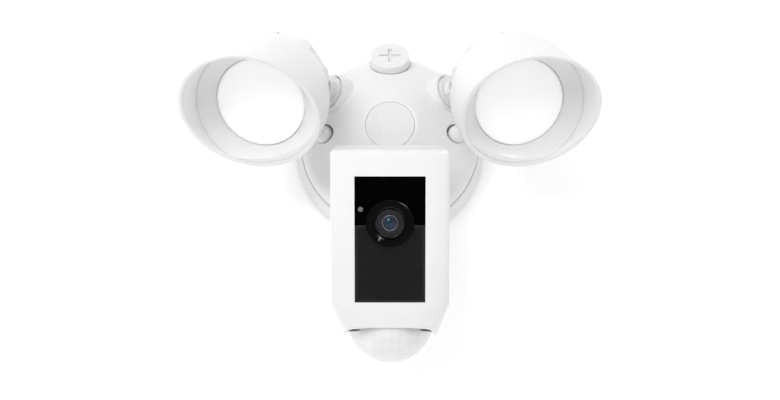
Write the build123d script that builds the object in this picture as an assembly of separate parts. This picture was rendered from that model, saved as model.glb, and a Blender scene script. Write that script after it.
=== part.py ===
from build123d import *
import os
from math import cos, sin, radians, sqrt

# Floodlight security camera: a round wall canopy that carries two swivelling lamp heads and,
# below them, a camera with a motion-sensor dome.  Millimetres.  +X is to the right seen from
# the front, +Y goes into the wall, +Z is up.  The origin is the centre of the face on the wall.

os.makedirs("parts", exist_ok=True)

# ---------------------------------------------------------------- driving dimensions
BOX_SCREW_SPACING = 88.9      # outlet-box screws, 3.5 inch
BOX_SCREW_SPACING_MIN = 69.85 # the closer pair of box screws, 2.75 inch
STUD_X = BOX_SCREW_SPACING / 2
CANOPY_R = 65.0               # canopy at the wall
GASKET_T = 2.0
SKIRT_TOP = 17.6              # height of the base ring off the wall
COVER_R = 60.3                # dome, above the shadow gap
COVER_LOW = 19.6
COVER_SHOULDER = 27.0
PLATEAU_R = 17.5
PLATEAU_H = 55.5
COVER_WALL = 2.4
SHOULDER_ROUND = 13.0
PLATEAU_ROUND = 7.0
CENTRE_R = 16.0
STUD_R = 2.4
POCKET_R = 6.9                # pocket round each cap nut, and the height of its floor
POCKET_H = 34.0
CAP_R = 6.1
BRACKET_T = 1.9
SLOT_R = 2.3                  # half the width of the bracket's box slots
PLUG_R = 13.4
PLUG_HOLE_R = 10.0
PLUG_T = 7.0
SEAL_T = 0.6

BOSS_R = 14.0                 # round bosses that the arms leave the canopy through
BOSS_LENGTH = 16.0
BOSS_RECESS_R = 12.2
BOSS_RECESS = 4.0
BOSS_FLOOR = 4.5
STEM_R = 8.0
STEM_FIT = 0.06
COLLAR_R = 11.6
PIN_FIT = 0.05
SIDE_GAP = 0.35               # between moving cheeks
NUT_GAP = 0.3

LAMP_POS = (-80.3, -96.3, 0.2)   # centre of the left lens
LAMP_YAW = 15.5                  # outward
LAMP_PITCH = 39.9                # down
LENS_R = 28.0
LAMP_R = 41.5                    # housing outside, at the lens
CREASE = 8.5                     # where the bezel meets the hood, ahead of the lens
HOOD_CUT = (-0.072, 0.43, 21.1)  # oblique front: z = a*x + b*y + c
HOOD_FLARE = 0.078
SINK_R = 31.0
SINK_BACK = -53.5
LAMP_BOSS = (-40.8, -37.2, 29.2)
LAMP_BOSS_AXIS = (-0.72, -0.68, 0.13)
KNUCKLE_OUT = 16.0               # boss face to knuckle pin
EYE_R = 7.4
EYE_HALF = 5.0
EAR_IN = EYE_HALF + SIDE_GAP
EAR_OUT = EAR_IN + 4.0
EAR_REACH = 16.0
PIN_R = 2.8
SINK_CORE_R = 22.0
SINK_FINS = 8

CAM_FACE = (0.0, -115.5, -85.0)  # middle of the camera's front face
CAM_PITCH = 21.4
CAM_W = 70.0
CAM_H = 91.0
CAM_D = 61.5
CAM_WALL = 2.0
SEAL_INSET = 0.9
CAM_SPLIT = -26.0                # parting line behind the front face
CHIN_LOW = -66.2                 # lower edge of the chin
CHIN_HALF = 28.2
DOME_R = 26.6
DOME_Y = -60.6
DOME_Z = -33.0
PANEL_W = 41.5
PANEL_TOP = 30.5
PANEL_MID = 1.8
PANEL_LOW = -43.9
LENS_Y = 2.6
LENS_BEZEL_R = 14.4
BEAD_AT = (-17.2, 11.1)
CAM_BOSS = (0.0, -41.5, -52.5)
CAM_BOSS_AXIS = (0.0, -0.900, -0.436)
BUTTON_R = 3.7
BUTTON_SEAT = 3.2                # inner face that the button's flange rests on, off the back
UNIVERSAL_OUT = 10.5             # boss face to the centre of the camera's cross joint
BLOCK_HALF = 4.6
CHEEK_R = 4.5
CHEEK_OUT = 8.2
CROSS_PIN_R = 2.0

# ---------------------------------------------------------------- frames
WALL = Plane(origin=(0, 0, 0), x_dir=(1, 0, 0), z_dir=(0, -1, 0))   # local x, y=up, z=off the wall
yaw, pitch = radians(LAMP_YAW), radians(LAMP_PITCH)
LAMP_AXIS = Vector(-sin(yaw) * cos(pitch), -cos(yaw) * cos(pitch), -sin(pitch))
LAMP_SIDE = Vector(0, 0, 1).cross(LAMP_AXIS).normalized()
LAMP = Plane(origin=LAMP_POS, x_dir=LAMP_SIDE, z_dir=LAMP_AXIS)
LAMP_ARM = Plane(origin=LAMP_BOSS, x_dir=(0, 0, 1), z_dir=LAMP_BOSS_AXIS)
cam = radians(CAM_PITCH)
CAM = Plane(origin=CAM_FACE, x_dir=(1, 0, 0), z_dir=(0, -cos(cam), -sin(cam)))
CAM_ARM = Plane(origin=CAM_BOSS, x_dir=(1, 0, 0), z_dir=CAM_BOSS_AXIS)

PLUG = Plane(origin=(0, -31.2, 53.1), x_dir=(1, 0, 0), z_dir=(0, -cos(radians(29)), sin(radians(29))))

boss_out = Vector(LAMP_BOSS_AXIS).normalized()
KNUCKLE = Vector(LAMP_BOSS) + boss_out * KNUCKLE_OUT
KNUCKLE_PIN = boss_out.cross(LAMP_AXIS).normalized()


def place(shape, frame):
    """Move a shape from a local frame to the part's frame."""
    return shape.moved(frame.location)


def turned(points):
    """Solid of revolution about local z from (radius, height) points, straight between them."""
    face = make_face(Plane.XZ * Polyline(*points, close=True))
    return revolve(face, axis=Axis.Z)


def outline_face(lines):
    """Face in the sketch plane inside a closed loop of lines and arcs."""
    return make_face(Curve() + list(lines))


def rod(radius, low, high, at=(0, 0)):
    """Cylinder along local z from low to high."""
    shape = Cylinder(radius, high - low, align=(Align.CENTER, Align.CENTER, Align.MIN))
    return Pos(at[0], at[1], low) * shape


def ring(outer, inner, low, high, at=(0, 0)):
    return rod(outer, low, high, at) - rod(inner, low - 1, high + 1, at)


def block(x0, x1, y0, y1, z0, z1):
    return Pos((x0 + x1) / 2, (y0 + y1) / 2, (z0 + z1) / 2) * Box(x1 - x0, y1 - y0, z1 - z0)


def hexagon(across, low, high, at=(0, 0)):
    face = RegularPolygon(across / 2, 6, major_radius=False)
    return Pos(at[0], at[1], low) * extrude(face, high - low)


def save(node, shape):
    shape.label = node
    export_step(shape, "parts/" + node + ".step")


def both_sides(name, shape):
    """Save the left piece and its mirror image as the right one."""
    save("left_" + name, shape)
    save("right_" + name, mirror(shape, about=Plane.YZ))


# ---------------------------------------------------------------- canopy on the wall
def dome(inset, low):
    """Solid dome whose surface is set in from the outside by a wall thickness."""
    side = COVER_R - inset
    top = PLATEAU_H - inset
    slope = (PLATEAU_H - COVER_SHOULDER) / (COVER_R - PLATEAU_R)
    along = sqrt(1 + slope * slope)
    shoulder = COVER_SHOULDER - inset * (along - slope)
    flat_r = PLATEAU_R - inset * (along - 1) / slope
    outline = Polyline((0, low), (side, low), (side, shoulder), (flat_r, top), (0, top), close=True)
    face = make_face(Plane.XZ * outline)
    face = fillet([v for v in face.vertices() if abs(v.Z - shoulder) < 1e-6], SHOULDER_ROUND - inset)
    face = fillet([v for v in face.vertices() if abs(v.X - flat_r) < 1e-6], PLATEAU_ROUND)
    return place(revolve(face, axis=Axis.Z), WALL)


def boss_bore(frame):
    """What is bored out of a boss: the collar's recess, the stem hole and the nut's space."""
    recess = rod(BOSS_RECESS_R, -BOSS_RECESS, 20)
    bore = rod(STEM_R + STEM_FIT, -40, 1)
    back = rod(BOSS_RECESS_R, -60, -BOSS_RECESS - BOSS_FLOOR)
    return place(recess + bore + back, frame)


outer_dome = dome(0, COVER_LOW)
skin = outer_dome - dome(COVER_WALL, COVER_LOW - 12)
lamp_boss = place(rod(BOSS_R, -BOSS_LENGTH, 0), LAMP_ARM)
bosses = [lamp_boss, mirror(lamp_boss, about=Plane.YZ), place(rod(BOSS_R, -BOSS_LENGTH, 0), CAM_ARM)]
bores = [boss_bore(LAMP_ARM), mirror(boss_bore(LAMP_ARM), about=Plane.YZ), boss_bore(CAM_ARM)]

shell = skin + place(ring(COVER_R - 1.9, COVER_R - 3.9, 10.0, COVER_LOW + 0.6), WALL)
shell = shell + place(rod(PLUG_R + 0.8, -7, -SEAL_T), PLUG)
for x in (-STUD_X, STUD_X):
    shell = shell + (place(rod(POCKET_R + 2.2, POCKET_H - 6, 60, (x, 0)), WALL) & outer_dome)
for boss in bosses:
    shell = shell + boss
for bore in bores:
    shell = shell - bore
for x in (-STUD_X, STUD_X):
    shell = shell - place(rod(POCKET_R, POCKET_H, 70, (x, 0)), WALL)
    shell = shell - place(rod(STUD_R + 0.4, 0, 40, (x, 0)), WALL)
shell = shell - place(rod(PLUG_HOLE_R, -30, 20) + rod(PLUG_R + 0.8, -SEAL_T, 20), PLUG)
shell = shell - place(rod(CENTRE_R + 0.2, PLATEAU_H - 1.4, PLATEAU_H + 5), WALL)
save("canopy_cover", shell)

# base ring: the tapered skirt under the dome, with a lip that the gasket and the studs' flanges sit on
skirt = turned([(CANOPY_R - 0.6, GASKET_T), (CANOPY_R, GASKET_T + 1.2), (CANOPY_R - 0.2, GASKET_T + 3),
                (COVER_R + 0.9, SKIRT_TOP), (COVER_R - 1.7, SKIRT_TOP), (COVER_R - 1.7, GASKET_T + 2.4),
                (COVER_R - 8, GASKET_T + 2.4), (COVER_R - 8, GASKET_T)])
ears = block(-STUD_X - 10, STUD_X + 10, -9, 9, GASKET_T, GASKET_T + 2.4) - rod(36, 0, 20)
skirt = skirt + (ears & rod(COVER_R - 1.7, 0, 20))
for x in (-STUD_X, STUD_X):
    skirt = skirt - rod(STUD_R + 0.4, 0, 10, (x, 0))
save("canopy_base_ring", place(skirt, WALL))
save("wall_gasket", place(ring(CANOPY_R - 0.8, COVER_R - 2.5, 0, GASKET_T), WALL))
save("centre_cap", place(rod(CENTRE_R, PLATEAU_H - 1.4, PLATEAU_H + 0.2), WALL))

# cross bracket: the studs stand on its level arm, the box screws pass through its upright arm
arms = block(-STUD_X - 8, STUD_X + 8, -8, 8, 0, BRACKET_T) + block(-8, 8, -52, 52, 0, BRACKET_T)
slot_middle = (BOX_SCREW_SPACING + BOX_SCREW_SPACING_MIN) / 4
slot_length = (BOX_SCREW_SPACING - BOX_SCREW_SPACING_MIN) / 2 + 2 * SLOT_R
for z in (-slot_middle, slot_middle):
    slot = Rot(0, 0, 90) * SlotOverall(slot_length, 2 * SLOT_R)
    arms = arms - Pos(0, z, -1) * extrude(slot, 6)
for x in (-STUD_X, STUD_X):
    arms = arms - rod(STUD_R, -1, 6, (x, 0))
arms = arms - rod(1.6, -1, 6, (22, 4))
save("cross_bracket", place(arms, WALL))
studs = [place(rod(STUD_R, 0, POCKET_H + 4.5, (x, 0)), WALL) for x in (-STUD_X, STUD_X)]
save("mounting_studs", Compound(studs))
earth = rod(1.6, 0, BRACKET_T, (22, 4)) + hexagon(7, BRACKET_T, BRACKET_T + 3, (22, 4))
save("earth_screw", place(earth, WALL))


def cap_nut(x):
    """Closed round nut with a domed end over the stud."""
    crown = Pos(x, 0, POCKET_H + 1.9) * Sphere(CAP_R)
    nut = rod(CAP_R, POCKET_H, POCKET_H + 2, (x, 0)) + (crown & rod(CAP_R, POCKET_H + 1.9, POCKET_H + 9, (x, 0)))
    return place(nut - rod(STUD_R, POCKET_H - 1, POCKET_H + 4.5, (x, 0)), WALL)


save("cap_nuts", Compound([cap_nut(-STUD_X), cap_nut(STUD_X)]))

# closure plug in the spare arm opening at the top, with a cross slot in its face
plug = rod(PLUG_R, 0, PLUG_T) + rod(PLUG_HOLE_R - 0.4, -12, 0)
plug = fillet(plug.edges().filter_by(GeomType.CIRCLE).sort_by(Axis.Z)[-1], 0.7)
plug = plug - rod(PLUG_HOLE_R - 2.4, -13, -2)
plug = plug - block(-7.2, 7.2, -1.1, 1.1, PLUG_T - 1.8, PLUG_T + 1)
plug = plug - block(-1.1, 1.1, -7.2, 7.2, PLUG_T - 1.8, PLUG_T + 1)
save("closure_plug", place(plug, PLUG))
save("plug_seal", place(ring(PLUG_R - 0.6, PLUG_HOLE_R - 0.3, -SEAL_T, 0), PLUG))

# electronics in the canopy
save("led_driver", place(block(-33, -7, -30, 6, 12, 27) - rod(1.7, 0, 40, (-29, 2)), WALL))
board = block(-1, 35, -30, 6, 12, 13.6)
save("power_board", place(board, WALL))
fitted = [block(2, 17, -27, -17, 13.6, 26), block(20, 32, -27, -15, 13.6, 22),
          rod(4.5, 13.6, 27, (7, -9)), rod(3.2, 13.6, 22, (17, -8)), rod(3.2, 13.6, 22, (25, -8))]
save("power_components", place(Compound(fitted), WALL))
terminals = block(4, 31, -3, 5, 13.6, 22)
for x in (7.5, 13.5, 19.5, 25.5):
    terminals = terminals - rod(1.4, 15, 30, (x + 1, 1))
save("terminal_block", place(terminals, WALL))


# ---------------------------------------------------------------- swivel arms
def stem(length, frame):
    """Stem through a boss: a collar in the boss's recess and a thread behind its floor."""
    low = -BOSS_RECESS - BOSS_FLOOR - 9
    return place(rod(STEM_R, low, length) + rod(COLLAR_R, -BOSS_RECESS + 0.3, 1.4), frame)


def inside_nut(frame):
    """Flanged nut on the stem's thread, just clear of the boss floor."""
    high = -BOSS_RECESS - BOSS_FLOOR - NUT_GAP
    nut = hexagon(20.0, high - 6.6, high - 1.4) + rod(11.4, high - 1.6, high)
    return place(nut - rod(STEM_R, high - 9, high + 1), frame)


def eye_plate(radius, half, length, frame):
    """Rounded plate about a pin along local z that runs off along local x."""
    plate = rod(radius, -half, half) + block(0, length, -radius, radius, -half, half)
    return place(plate, frame)


# the arm's eye runs back from the pin to the stem, the lamp's two ears run forward into its cap
ARM_EYE = Plane(origin=KNUCKLE, x_dir=-boss_out, z_dir=KNUCKLE_PIN)
LAMP_EAR = Plane(origin=KNUCKLE, x_dir=LAMP_AXIS, z_dir=KNUCKLE_PIN)
arm = stem(5.5, LAMP_ARM)
arm = arm + eye_plate(EYE_R, EYE_HALF, KNUCKLE_OUT - 1, ARM_EYE)
arm = arm - place(rod(3.2, -30, 2.0), LAMP_ARM)
arm = arm - place(rod(PIN_R + PIN_FIT, -20, 20), ARM_EYE)
both_sides("lamp_arm", arm)
both_sides("arm_nut", inside_nut(LAMP_ARM))

# ---------------------------------------------------------------- lamp heads
cut_a, cut_b, cut_c = HOOD_CUT
cut_normal = Vector(-cut_a, -cut_b, 1).normalized()


def trim_front(shape, back=0.0):
    """Cut a lamp piece off along the hood's oblique plane."""
    plane = Plane(origin=(0, 0, cut_c - back), x_dir=Vector(1, 0, cut_a).normalized(), z_dir=cut_normal)
    return shape - place(rod(90, 0, 120), plane)


inner_low = LAMP_R - 2.9
hood_top = 42.0
wall_line = Polyline((inner_low, CREASE), (inner_low + HOOD_FLARE * (hood_top - CREASE), hood_top),
                     (LAMP_R + 0.03 * hood_top, hood_top), (LAMP_R, 0), (LAMP_R - 0.5, -12))
round_back = ThreePointArc((LAMP_R - 0.5, -12), (36.8, -26), (30.0, -37))
floor_line = Polyline((30.0, -37), (28.6, -38), (SINK_CORE_R, -38), (SINK_CORE_R, -35.6), (27.4, -35.6))
round_inside = ThreePointArc((27.4, -35.6), (34.3, -25), (LAMP_R - 2.9, -12))
back_line = Line((LAMP_R - 2.9, -12), (inner_low, CREASE))
half_section = outline_face([wall_line, round_back, floor_line, round_inside, back_line])
housing = revolve(Plane.XZ * half_section, axis=Axis.Z)
both_sides("lamp_housing", place(trim_front(housing), LAMP))

bezel = turned([(LENS_R + 1.3, 1.2), (inner_low - 0.3, CREASE), (inner_low, CREASE), (inner_low, -4),
                (LENS_R - 1.5, -4), (LENS_R - 1.5, -2.6), (LENS_R + 1.3, -2.6)])
bezel = bezel - turned([(LENS_R + 3.2, -5), (inner_low - 1.4, -5), (inner_low - 1.4, 2.2), (LENS_R + 3.2, -0.4)])
both_sides("lamp_bezel", place(trim_front(bezel, 0.8), LAMP))

LENS_CROWN = 1.6
crown_r = (LENS_R ** 2 + LENS_CROWN ** 2) / (2 * LENS_CROWN)
half_way = LENS_CROWN - crown_r + sqrt(crown_r ** 2 - (LENS_R / 2) ** 2)
crown_line = ThreePointArc((LENS_R, 0), (LENS_R / 2, half_way), (0, LENS_CROWN))
lens_edge = Polyline((0, LENS_CROWN), (0, -2.6), (LENS_R, -2.6), (LENS_R, 0))
both_sides("lamp_lens", place(revolve(Plane.XZ * outline_face([crown_line, lens_edge]), axis=Axis.Z), LAMP))
both_sides("lens_seal", place(ring(LENS_R - 1.5, LENS_R - 3.5, -4.0, -2.6), LAMP))
both_sides("led_board", place(rod(LENS_R - 2, -8.4, -6.8), LAMP))
chips = [rod(1.5, -6.8, -6.0)]
for radius, count in ((7.5, 6), (15.0, 12), (21.5, 16)):
    chips += [Rot(0, 0, 360 * i / count) * rod(1.5, -6.8, -6.0, (radius, 0)) for i in range(count)]
both_sides("led_chips", place(Compound(chips), LAMP))

# heat sink: a core behind the board and a finned cap that closes the back and carries the ears
sink = rod(SINK_CORE_R - 0.05, -38, -8.4) + rod(SINK_R, SINK_BACK, -38)
sink = chamfer(sink.edges().filter_by(GeomType.CIRCLE).sort_by(Axis.Z)[0], 3.0)
for i in range(SINK_FINS):
    notch = block(SINK_R - 3.2, SINK_R + 2, -8.4, 8.4, SINK_BACK - 1, -40.0)
    sink = sink - Rot(0, 0, 360 * (i + 0.5) / SINK_FINS) * notch
sink = sink - rod(SINK_CORE_R - 3, SINK_BACK + 4, -8)
sink = place(sink, LAMP)
for side in (-1, 1):
    ear = rod(EYE_R, EAR_IN, EAR_OUT) + block(0, EAR_REACH, -EYE_R, EYE_R, EAR_IN, EAR_OUT)
    ear = ear if side > 0 else mirror(ear, about=Plane.XY)
    sink = sink + place(ear, LAMP_EAR)
sink = sink - place(rod(PIN_R, -20, 20), LAMP_EAR)
both_sides("lamp_heat_sink", sink)
bolt = rod(PIN_R, -EAR_OUT, EAR_OUT) + rod(4.8, EAR_OUT, EAR_OUT + 2.6)
bolt = bolt - hexagon(3.2, EAR_OUT + 1, EAR_OUT + 4) + hexagon(8.6, -EAR_OUT - 3, -EAR_OUT)
both_sides("knuckle_bolt", place(bolt, LAMP_EAR))

# ---------------------------------------------------------------- camera arm and universal joint
UNIVERSAL = Plane(origin=Vector(CAM_BOSS) + Vector(CAM_BOSS_AXIS).normalized() * UNIVERSAL_OUT,
                  x_dir=(1, 0, 0), z_dir=CAM.z_dir)
back_gap = -(UNIVERSAL.origin - Vector(CAM_FACE)).dot(CAM.z_dir) - CAM_D
cam_out = Vector(CAM_BOSS_AXIS).normalized()
ARM_CHEEK = Plane(origin=UNIVERSAL.origin, x_dir=-cam_out, z_dir=(1, 0, 0))
arm = stem(1.4, CAM_ARM)
for side in (-1, 1):
    cheek = rod(CHEEK_R, BLOCK_HALF + SIDE_GAP, CHEEK_OUT) + block(0, UNIVERSAL_OUT - 1, -CHEEK_R, CHEEK_R,
                                                                  BLOCK_HALF + SIDE_GAP, CHEEK_OUT)
    arm = arm + place(cheek if side > 0 else mirror(cheek, about=Plane.XY), ARM_CHEEK)
arm = arm - place(rod(CROSS_PIN_R, -20, 20), ARM_CHEEK)
arm = arm - place(rod(3.2, -30, 3), CAM_ARM)
save("camera_arm", arm)
save("camera_arm_nut", inside_nut(CAM_ARM))
tilt_pin = place(rod(CROSS_PIN_R, -CHEEK_OUT, CHEEK_OUT), ARM_CHEEK)
PAN_PIN = Plane(origin=UNIVERSAL.origin, x_dir=(1, 0, 0), z_dir=CAM.y_dir)
cross = place(Box(2 * BLOCK_HALF, 2 * BLOCK_HALF, 2 * BLOCK_HALF), UNIVERSAL)
cross = cross - place(rod(CROSS_PIN_R + PIN_FIT, -20, 20), ARM_CHEEK)
cross = cross + place(rod(CROSS_PIN_R, BLOCK_HALF, CHEEK_OUT), PAN_PIN)
cross = cross + place(rod(CROSS_PIN_R, -CHEEK_OUT, -BLOCK_HALF), PAN_PIN)
save("cross_block", cross)
save("tilt_pin", tilt_pin)


# ---------------------------------------------------------------- camera housing
def plan(half, front, back, flat, sag, r_front, r_back):
    """Outline across the camera, x by z: a flat front that curves away towards its corners."""
    near = front - sag
    swing = half - flat
    radius = (swing ** 2 + sag ** 2) / (2 * sag)
    angle = swing / radius / 2
    mid = (flat + radius * sin(angle), front - radius * (1 - cos(angle)))
    left_mid = (-mid[0], mid[1])
    face = outline_face([Line((-flat, front), (flat, front)), ThreePointArc((flat, front), mid, (half, near)),
                         Polyline((half, near), (half, back), (-half, back), (-half, near)),
                         ThreePointArc((-half, near), left_mid, (-flat, front))])
    corners = face.vertices()
    face = fillet([v for v in corners if abs(abs(v.X) - half) < 1e-6 and abs(v.Y - near) < 1e-6], r_front)
    return fillet([v for v in face.vertices() if abs(abs(v.X) - half) < 1e-6 and abs(v.Y - back) < 1e-6], r_back)


def level(y):
    """Plane across the camera at a height on its face: sketch x, y become local x, z."""
    return Plane(origin=(0, y, 0), x_dir=(1, 0, 0), z_dir=(0, -1, 0))


def camera_solid(inset):
    """Body and tapered chin, set in from the outside by a wall thickness."""
    half = CAM_W / 2 - inset
    top = CAM_H / 2 - inset
    crease = -CAM_H / 2
    full = plan(half, -inset, -CAM_D + inset, 21.5, 2.5, 2.6, 5.0 - inset / 2)
    body = extrude(level(top) * full, top - crease)
    chin_top = level(crease) * full
    thin = 0.4 * inset
    chin = plan(CHIN_HALF - thin, -6.6 - thin, -CAM_D + 0.6 + thin, 6.0, 2.0, 9.0, 12.0)
    return body, chin_top, level(CHIN_LOW) * chin


body, chin_top, chin_low = camera_solid(0)
top_edges = body.faces().sort_by(Axis.Y)[-1].edges()
body = fillet(top_edges, 2.0)
outside = body + loft([chin_top.face(), chin_low.face()])
body, chin_top, chin_low = camera_solid(CAM_WALL)
inside = body + loft([chin_top.face(), chin_low.face()])
inside = inside + extrude(chin_low.face(), 3)
# the chin's front lip rises on a slant so that the sensor dome looks out forward
lip = make_face(Plane.YZ * Polyline((CHIN_LOW - 5, 20), (-56.7, 20), (-59.8, -5.2), (CHIN_LOW, -13),
                                    (CHIN_LOW - 5, -13), close=True))
outside = outside - extrude(lip, 50, both=True)
hull_shell = outside - inside
body, chin_top, chin_low = camera_solid(SEAL_INSET)
seal_inside = body + loft([chin_top.face(), chin_low.face()])
front_half = block(-60, 60, -120, 90, CAM_SPLIT, 40)
window = block(-PANEL_W / 2, PANEL_W / 2, PANEL_LOW, PANEL_TOP, -CAM_WALL - 2, 5)
front = (hull_shell & front_half) - window
ledge = block(-PANEL_W / 2 - 2, PANEL_W / 2 + 2, PANEL_LOW - 0.8, PANEL_TOP + 2, -3.4, -CAM_WALL)
ledge = ledge - block(-PANEL_W / 2 + 1.6, PANEL_W / 2 - 1.6, PANEL_LOW + 1.6, PANEL_TOP - 1.6, -9, 5)
front = front + ledge
save("camera_front_cover", place(front, CAM))

rear = hull_shell & block(-60, 60, -120, 90, -80, CAM_SPLIT - 0.8)
button_y = CAM_H / 2 - 14
rear = rear + rod(6.4, -CAM_D + CAM_WALL - 0.2, -CAM_D + BUTTON_SEAT, (0, button_y))
rear = rear - rod(BUTTON_R + 0.35, -CAM_D - 3, -CAM_D + 20, (0, button_y))
screw_places = [(-29, 38), (29, 38), (-29, -36), (29, -36)]
for at in screw_places:
    rear = rear + rod(3.4, -CAM_D + 0.6, CAM_SPLIT - 0.8, at)
for at in screw_places:
    rear = rear - rod(2.7, -CAM_D - 1, -CAM_D + 2.4, at) - rod(1.3, -CAM_D - 1, CAM_SPLIT, at)
rear = place(rear, CAM)
PAN_LUG = Plane(origin=UNIVERSAL.origin, x_dir=CAM.z_dir, z_dir=CAM.y_dir)
for side in (-1, 1):
    near = BLOCK_HALF + SIDE_GAP
    lug = rod(CHEEK_R, near, CHEEK_OUT) + block(0, back_gap + 1, -CHEEK_R, CHEEK_R, near, CHEEK_OUT)
    rear = rear + place(lug if side > 0 else mirror(lug, about=Plane.XY), PAN_LUG)
rear = rear - place(rod(CROSS_PIN_R + PIN_FIT, -20, 20), PAN_LUG)
save("camera_rear_housing", rear)
seal = (outside - seal_inside) & block(-60, 60, -120, 90, CAM_SPLIT - 0.8, CAM_SPLIT)
save("housing_seal", place(seal, CAM))
screws = [rod(2.6, -CAM_D + 0.4, -CAM_D + 2.4, at) + rod(1.25, -CAM_D + 2.4, CAM_SPLIT - 3, at)
          for at in screw_places]
screws = [screw - hexagon(2.2, -CAM_D, -CAM_D + 1.6, at) for screw, at in zip(screws, screw_places)]
save("housing_screws", place(Compound(screws), CAM))

# ---------------------------------------------------------------- camera face
half = PANEL_W / 2
lens_at = (0, LENS_Y)
face_panel = block(-half, half, PANEL_MID, PANEL_TOP, -CAM_WALL, -0.5) - rod(LENS_BEZEL_R, -9, 5, lens_at)
face_panel = face_panel - rod(0.9, -9, 5, (0, PANEL_TOP - 3)) - rod(1.7, -9, 5, BEAD_AT)
save("face_panel", place(face_panel, CAM))
grille = block(-half, half, PANEL_LOW, PANEL_MID, -CAM_WALL, -0.5) - rod(LENS_BEZEL_R, -9, 5, lens_at)
save("speaker_grille", place(grille, CAM))
bezel_top = turned([(LENS_BEZEL_R, -3.4), (LENS_BEZEL_R, 0.3), (LENS_BEZEL_R - 0.9, 1.0), (LENS_BEZEL_R - 2.2, 0.9),
                    (9.4, -0.6), (9.2, -3.4)])
save("lens_bezel", place(Pos(0, LENS_Y, 0) * bezel_top, CAM))
save("lens_cover_glass", place(rod(9.2, -2.2, -1.2, lens_at), CAM))
barrel = ring(9.0, 5.4, -20, -2.6, lens_at) + ring(9.0, 4.8, -4.6, -2.6, lens_at)
save("lens_barrel", place(barrel, CAM))
front_element = (Pos(0, LENS_Y, -9.2) * Sphere(6.4)) & rod(5.2, -8.6, 0, lens_at)
save("lens_elements", place(Compound([front_element, rod(4.6, -16, -13, lens_at)]), CAM))
sensor = block(-11, 11, LENS_Y - 11, LENS_Y + 11, -22.6, -20.6) - rod(1.0, -30, 0, (9, LENS_Y + 9))
sensor = sensor + block(-4, 4, LENS_Y - 3, LENS_Y + 3, -20.6, -18.8)
save("image_sensor_board", place(sensor, CAM))
save("light_sensor_bead", place(rod(1.6, -5.5, -0.9, BEAD_AT) + (Pos(*BEAD_AT, -0.9) * Sphere(1.6)), CAM))
emitters = block(-19, 19, 18, 28, -9.4, -8)
for x in (-14.5, 14.5):
    for y in (20.4, 25.6):
        emitters = emitters + rod(2.5, -8, -2.2, (x, y))
save("infrared_emitters", place(emitters, CAM))
speaker = rod(15, -16, -12, (0, -27)) + rod(17, -12, -8, (0, -27)) - rod(13, -9.5, -7, (0, -27))
save("speaker_driver", place(speaker, CAM))
main_board = block(-25.3, 25.3, -42, 36, -32.6, -31) - rod(1.5, -50, 0, (-20, 31)) - rod(1.5, -50, 0, (20, 31))
save("main_board", place(main_board, CAM))
parts_on_board = [block(-14, 2, -2, 14, -31, -29.4), block(7, 17, 4, 14, -31, -29.6),
                  block(-20, -8, -20, -8, -31, -29.4), block(6, 20, -22, -12, -31, -26.5)]
shield = block(-16, 4, 18, 32, -31, -28.6) - block(-15.4, 3.4, 18.6, 31.4, -31.5, -29.2)
save("board_components", place(Compound(parts_on_board + [shield]), CAM))

# ---------------------------------------------------------------- motion sensor
dome_ball = Pos(0, DOME_Y, DOME_Z) * Sphere(DOME_R)
dome_core = Pos(0, DOME_Y, DOME_Z) * Sphere(DOME_R - 1.0)
below = block(-60, 60, -120, DOME_Y + 2.5, -90, 20)
save("sensor_dome", place((dome_ball - dome_core) & below, CAM))
PIR = Plane(origin=(0, DOME_Y - 1, DOME_Z), x_dir=(1, 0, 0), z_dir=(0, -1, 0))
save("sensor_board", place(place(rod(21, 0, 1.6), PIR), CAM))
cans = [place(Rot(0, 0, 120 * i) * rod(4.1, 1.6, 5.6, (0, 9.5)), PIR) for i in range(3)]
save("pyroelectric_sensors", place(Compound(cans), CAM))

# ---------------------------------------------------------------- set-up button on the back
flange = -CAM_D + BUTTON_SEAT + 0.1
button = rod(BUTTON_R, -CAM_D - 1.2, flange, (0, button_y)) + rod(5.2, flange, flange + 1.2, (0, button_y))
save("setup_button", place(button, CAM))
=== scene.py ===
from math import atan2, cos, hypot, pi, radians, sin, sqrt

import bmesh
import bpy
import numpy as np
from mathutils import Matrix, Vector


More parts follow.
